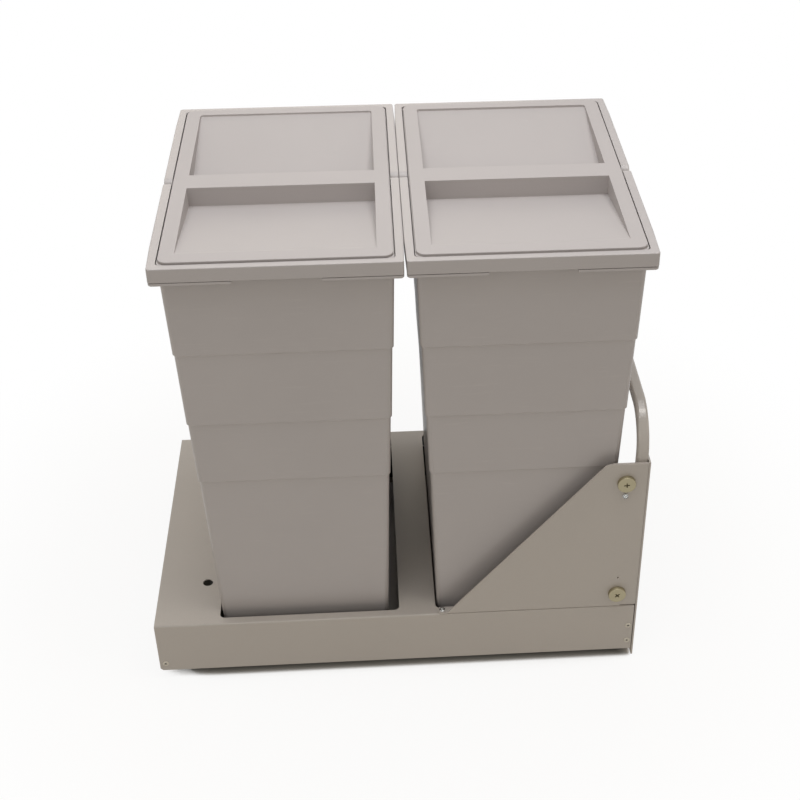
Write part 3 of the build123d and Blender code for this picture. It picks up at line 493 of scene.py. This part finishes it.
def cross_screw(head, cross, shank):
    """A screw along Z with its head's underside at height 0, from sizes of head, cross and shank."""
    radius, height, edge = head
    shape = bmesh.new()
    half = cross_sheet(shape, height, *cross)
    loop = grow(shape, outline(shape), (half + radius) / 2, height)
    shank_radius, shank_length = shank
    for radius_now, height_now in (
        (radius - edge, height),
        (radius - ROUNDING * edge, height - ROUNDING * edge),
        (radius, height - edge),
        (radius, ROUNDING * edge),
        (radius - ROUNDING * edge, 0.0),
        (shank_radius, 0.0),
        (shank_radius, -shank_length),
    ):
        loop = grow(shape, loop, radius_now, height_now)
    bmesh.ops.contextual_create(shape, geom=loop)
    bmesh.ops.recalc_face_normals(shape, faces=shape.faces)
    return shape


# %% Putting fasteners in their places
wall_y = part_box("frame_cover")[1].y


def spun(shape, degrees, axis="Z"):
    """Turn a fastener round an axis through the origin."""
    bmesh.ops.transform(shape, matrix=Matrix.Rotation(math.radians(degrees), 4, axis), verts=shape.verts)
    return shape


def moved(shape, place):
    bmesh.ops.translate(shape, verts=shape.verts, vec=place)
    return shape


def place_sideways(shape, side, x, z):
    """Lay a fastener that stands on Z so that it points out of one wall of the cover."""
    return moved(spun(shape, -90 * WAYS[side], "X"), (x, WAYS[side] * wall_y, z))


def joined(name, shapes):
    """Several bmeshes as one piece."""
    whole = bmesh.new()
    for shape in shapes:
        scrap = bpy.data.meshes.new("scrap")
        shape.to_mesh(scrap)
        shape.free()
        whole.from_mesh(scrap)
        bpy.data.meshes.remove(scrap)
    return linked(name, whole)


def fastener_piece(name, shapes, material, node=None):
    """Join fasteners into one piece on the carriage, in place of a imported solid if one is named."""
    piece = joined(name, shapes)
    piece.data.materials.append(material)
    piece.data.shade_smooth()
    piece.data.set_sharp_from_angle(angle=SHARP_ANGLE)
    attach(piece, "carriage")
    if node:
        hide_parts(node)
    print(name, len(piece.data.polygons), "faces")


# %% Disc-head clamp screws
CLAMP_HEAD = (10.2 * MM, 5.0 * MM, 0.8 * MM)
CLAMP_CROSS = (6.4 * MM, 1.5 * MM, 3.0 * MM)
CLAMP_SHANK = (3.0 * MM, 11.0 * MM)
CLAMP_TURNS = {"near": (40, 5), "far": (64, 21)}
clamp_low, clamp_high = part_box("clamp_screws")
clamp_x = (clamp_low.x + clamp_high.x) / 2
clamp_zs = (clamp_low.z + CLAMP_HEAD[0], clamp_high.z - CLAMP_HEAD[0])
clamps = []
for side in SIDES:
    for z, turn in zip(clamp_zs, CLAMP_TURNS[side]):
        screw = spun(cross_screw(CLAMP_HEAD, CLAMP_CROSS, CLAMP_SHANK), turn)
        clamps.append(place_sideways(screw, side, clamp_x, z))
fastener_piece("disc_head_screws", clamps, yellow_zinc, "clamp_screws")

# %% Small pan-head screws
PAN_HEAD = (3.6 * MM, 1.8 * MM, 1.3 * MM)
PAN_CROSS = (3.3 * MM, 1.0 * MM, 1.5 * MM)
LOCK_SHANK = (1.7 * MM, 6.0 * MM)
TIP_SHANK = (1.7 * MM, 5.5 * MM)
LOCK_TURNS = {"near": 25, "far": 70}
TIP_TURNS = {"near": 12, "far": 50}
lock_low, lock_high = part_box("lock_screws")
lock_z = (lock_low.z + lock_high.z) / 2
locks = []
for side in SIDES:
    screw = spun(cross_screw(PAN_HEAD, PAN_CROSS, LOCK_SHANK), LOCK_TURNS[side])
    locks.append(place_sideways(screw, side, clamp_x, lock_z))
fastener_piece("lock_pan_screws", locks, bright_screw, "lock_screws")

tip_low, tip_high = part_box("gusset_screws")
tip_x = (tip_low.x + tip_high.x) / 2
tips = []
for side in SIDES:
    screw = spun(cross_screw(PAN_HEAD, PAN_CROSS, TIP_SHANK), TIP_TURNS[side])
    place = (tip_x, WAYS[side] * (tip_high.y - PAN_HEAD[0]), tip_high.z - PAN_HEAD[1])
    tips.append(moved(screw, place))
fastener_piece("tip_pan_screws", tips, bright_screw, "gusset_screws")

# %% [markdown]
# ## Blind rivets
# A blind rivet is a turned part: a low dome with a dimple, in which the broken end of its steel mandrel
# stands. The mandrel is coloured very dark, painted shade for the hollow it stands in. Three rivets hold
# each wall of the cover. The half profile is a list of points that are spun round Z.
# The spin closes on itself, so the doubled points of the seam and of the axis are merged and the normals
# set again.

# %% Blind rivets by spinning a profile
RIVET_STEPS = 40
SEAM_DISTANCE = 0.001 * MM
RIVET_PLACES = ((-274.5 * MM, 25.0 * MM), (273.1 * MM, 52.0 * MM), (273.1 * MM, 28.0 * MM))
DIMPLE_FLOOR = 0.15
RIVET_PROFILE = (
    (0.0, DIMPLE_FLOOR),
    (1.40, DIMPLE_FLOOR),
    (1.45, 0.95),
    (1.70, 1.15),
    (2.10, 1.20),
    (2.90, 1.05),
    (3.40, 0.75),
    (3.60, 0.35),
    (3.50, 0.0),
    (2.0, 0.0),
    (2.0, -3.0),
    (2.6, -3.05),
    (2.8, -3.5),
    (2.6, -4.0),
    (1.4, -4.2),
    (0.0, -4.2),
)
MANDREL_PROFILE = ((0.0, 0.75), (0.65, 0.70), (1.0, 0.45), (1.05, 0.05), (0.0, 0.05))


def turned(profile):
    """Spin (radius, height) points, in millimetres, round Z into a closed shape."""
    shape = bmesh.new()
    corners = [shape.verts.new((radius * MM, 0.0, height * MM)) for radius, height in profile]
    for first, second in zip(corners, corners[1:]):
        shape.edges.new((first, second))
    bmesh.ops.spin(
        shape,
        geom=shape.verts[:] + shape.edges[:],
        cent=(0, 0, 0),
        axis=(0, 0, 1),
        angle=math.tau,
        steps=RIVET_STEPS,
        use_merge=True,
    )
    bmesh.ops.remove_doubles(shape, verts=shape.verts, dist=SEAM_DISTANCE)
    bmesh.ops.recalc_face_normals(shape, faces=shape.faces)
    return shape


rivets, mandrels = [], []
for side in SIDES:
    for x, z in RIVET_PLACES:
        rivets.append(place_sideways(turned(RIVET_PROFILE), side, x, z))
        mandrels.append(place_sideways(turned(MANDREL_PROFILE), side, x, z))
fastener_piece("blind_rivets", rivets, rivet_painted_highlight, "cover_rivets")
# The mandrels' dark colour is painted shade for the rivets' hollows.
fastener_piece("rivet_mandrels", mandrels, mandrel_in_painted_shade)

# %% [markdown]
# ## Floor, light and camera
# The floor is a wide pale sheet. To the camera it glows white, but only where it is open: an ambient
# occlusion node tells where something stands over it, and there it shows its plain surface in shadow, at
# any pose. Well inside the closed frame's outline, where the node finds it covered, its colour is painted
# nearly black, a painted shade like that on a cabinet floor, so the access holes in the cover look dark.
#
# A large cool lamp overhead does most of the lighting, as in a product studio, so that surfaces that
# face up are about twice as bright as upright ones. Warmer lamps at the front, the back and both sides
# open up the shade. Two small lamps, one overhead and one in front, put crisp highlights on the bends of
# the handle and on the screws. The camera stands where the photograph was taken.

# %% Floor
WHITE = (1.0, 1.0, 1.0)
FLOOR_SIZE = 12.0
FLOOR_COLOUR = (0.92, 0.88, 0.81)
FLOOR_PER_METRE = 3.0
FLOOR_CONTRAST = 0.01
# Painted shade: the floor's colour level well inside the closed frame.
UNDER_FRAME_PAINTED_SHADE = 0.06
NEAR_GLOW = 0.89
SHADOW_REACH = (0.38, 0.75)
COVER_REACH = 300 * MM
OPEN_SHARE = (0.34, 0.52)
PAINTED_SHADE_EDGE = 30 * MM
footprint = Vector((cad_box[1][0], cad_box[1][1]))


def seen(finish):
    """1 for a ray from the camera, a mirrored one or one through glass, and 0 for all others."""
    kinds = ("Camera", "Glossy", "Transmission")
    straight, mirrored, through = (finish.add("LightPath", output=f"Is {kind} Ray") for kind in kinds)
    return straight.highest(mirrored, through)


def pale_floor():
    """White to the camera where open, plain where covered, and painted dark as shade inside the closed
    frame.
    """
    finish = new_finish("pale_floor")
    where = finish.places()
    clouds = finish.noise(where, FLOOR_PER_METRE)
    dark, light = (tint(FLOOR_COLOUR, 1.0 + way * FLOOR_CONTRAST) for way in (-1, 1))
    colour = finish.blend(clouds, dark, light)
    open_share = finish.add("AmbientOcclusion", {}, {"Distance": COVER_REACH}, output="AO")
    outside = finish.rise(open_share, *OPEN_SHARE)
    bare = outside
    for axis, half in enumerate(footprint):
        along = finish.add("SeparateXYZ", {}, {"Vector": where}, output=axis)
        distance = finish.add("Math", {"operation": "ABSOLUTE"}, {0: along})
        bare = bare.highest(finish.rise(distance, half - PAINTED_SHADE_EDGE, half))
    away = finish.add("VectorMath", {"operation": "LENGTH"}, {0: where}, output="Value")
    glow_level = NEAR_GLOW + finish.rise(away, *SHADOW_REACH) * (1.0 - NEAR_GLOW)
    # Painted shade: the floor colour drops to near black where it is covered, inside the frame's outline.
    shaded = finish.blend(bare, tint(FLOOR_COLOUR, UNDER_FRAME_PAINTED_SHADE), colour)
    diffuse = finish.add("BsdfDiffuse", {}, {"Color": shaded})
    glow = finish.add("Emission", {}, {"Color": tint(WHITE), "Strength": 1.0})
    share = glow_level * outside * seen(finish)
    return finish.show(finish.add("MixShader", {}, {0: share, 1: diffuse, 2: glow}))


floor_mesh = bpy.data.meshes.new("floor")
grid = bmesh.new()
bmesh.ops.create_grid(grid, x_segments=1, y_segments=1, size=FLOOR_SIZE / 2)
grid.to_mesh(floor_mesh)
grid.free()
floor = bpy.data.objects.new("floor", floor_mesh)
floor.data.materials.append(pale_floor())
scene.collection.objects.link(floor)
print("floor", FLOOR_SIZE, "m")

# %% World
SKY_STRENGTH = 0.20
world = bpy.data.worlds.new("studio")
scene.world = world
room = Finish(world)
level = SKY_STRENGTH + seen(room) * (1.0 - SKY_STRENGTH)
room.show(room.add("Background", {}, {"Color": tint(WHITE), "Strength": level}), "OutputWorld")
print("world", SKY_STRENGTH)

# %% Lamps
MIDDLE = Vector((0.0, 0.0, 0.30))
COOL = (0.952, 0.969, 1.0)
WARM = (1.0, 0.96, 0.90)
WARMER = (1.0, 0.88, 0.70)


def lamp(name, place, size, power, colour):
    """A square soft lamp, looking at the object, of this size in metres and power in watts."""
    data = bpy.data.lights.new(name, "AREA")
    data.shape = "SQUARE"
    data.size = size
    data.energy = power
    data.color = colour
    made = bpy.data.objects.new(name, data)
    made.location = place
    made.rotation_euler = (MIDDLE - made.location).to_track_quat("-Z", "Y").to_euler()
    scene.collection.objects.link(made)


lamp("overhead", (0.03, -0.1, 2.1), 1.6, 28.0, COOL)
lamp("overhead_small", (0.60, -0.25, 2.1), 0.3, 2.6, WARM)
lamp("front_high", (-0.9, -2.2, 1.9), 1.8, 8.3, WARM)
lamp("front_small", (-0.4, -2.15, 1.2), 0.35, 1.1, WARM)
lamp("right_side", (2.4, -1.0, 1.3), 1.6, 9.7, WARMER)
lamp("left_side", (-2.4, -0.8, 1.1), 1.6, 6.5, WARMER)
lamp("back", (-0.5, 2.8, 1.5), 2.0, 14.0, WARMER)

# %% Camera
SENSOR_WIDTH = 36.0
IMAGE_WIDTH = 800
FOCAL_PIXELS = 1422.28
AXIS_PIXEL = (455.59, 409.44)
CAMERA_PLACE = (-0.01269, -1.39323, 1.24194)
CAMERA_AZIMUTH = -3.801
CAMERA_ELEVATION = 35.487

camera_data = bpy.data.cameras.new("camera")
camera_data.sensor_width = SENSOR_WIDTH
camera_data.lens = FOCAL_PIXELS / IMAGE_WIDTH * SENSOR_WIDTH
camera_data.shift_x = (IMAGE_WIDTH / 2 - AXIS_PIXEL[0]) / IMAGE_WIDTH
camera_data.shift_y = (AXIS_PIXEL[1] - IMAGE_WIDTH / 2) / IMAGE_WIDTH
camera = bpy.data.objects.new("camera", camera_data)
camera.location = CAMERA_PLACE
camera.rotation_euler = (math.radians(90 - CAMERA_ELEVATION), 0, math.radians(CAMERA_AZIMUTH))
scene.collection.objects.link(camera)
scene.camera = camera
scene.view_settings.view_transform = "Standard"
print("camera", round(camera_data.lens, 2), "mm")
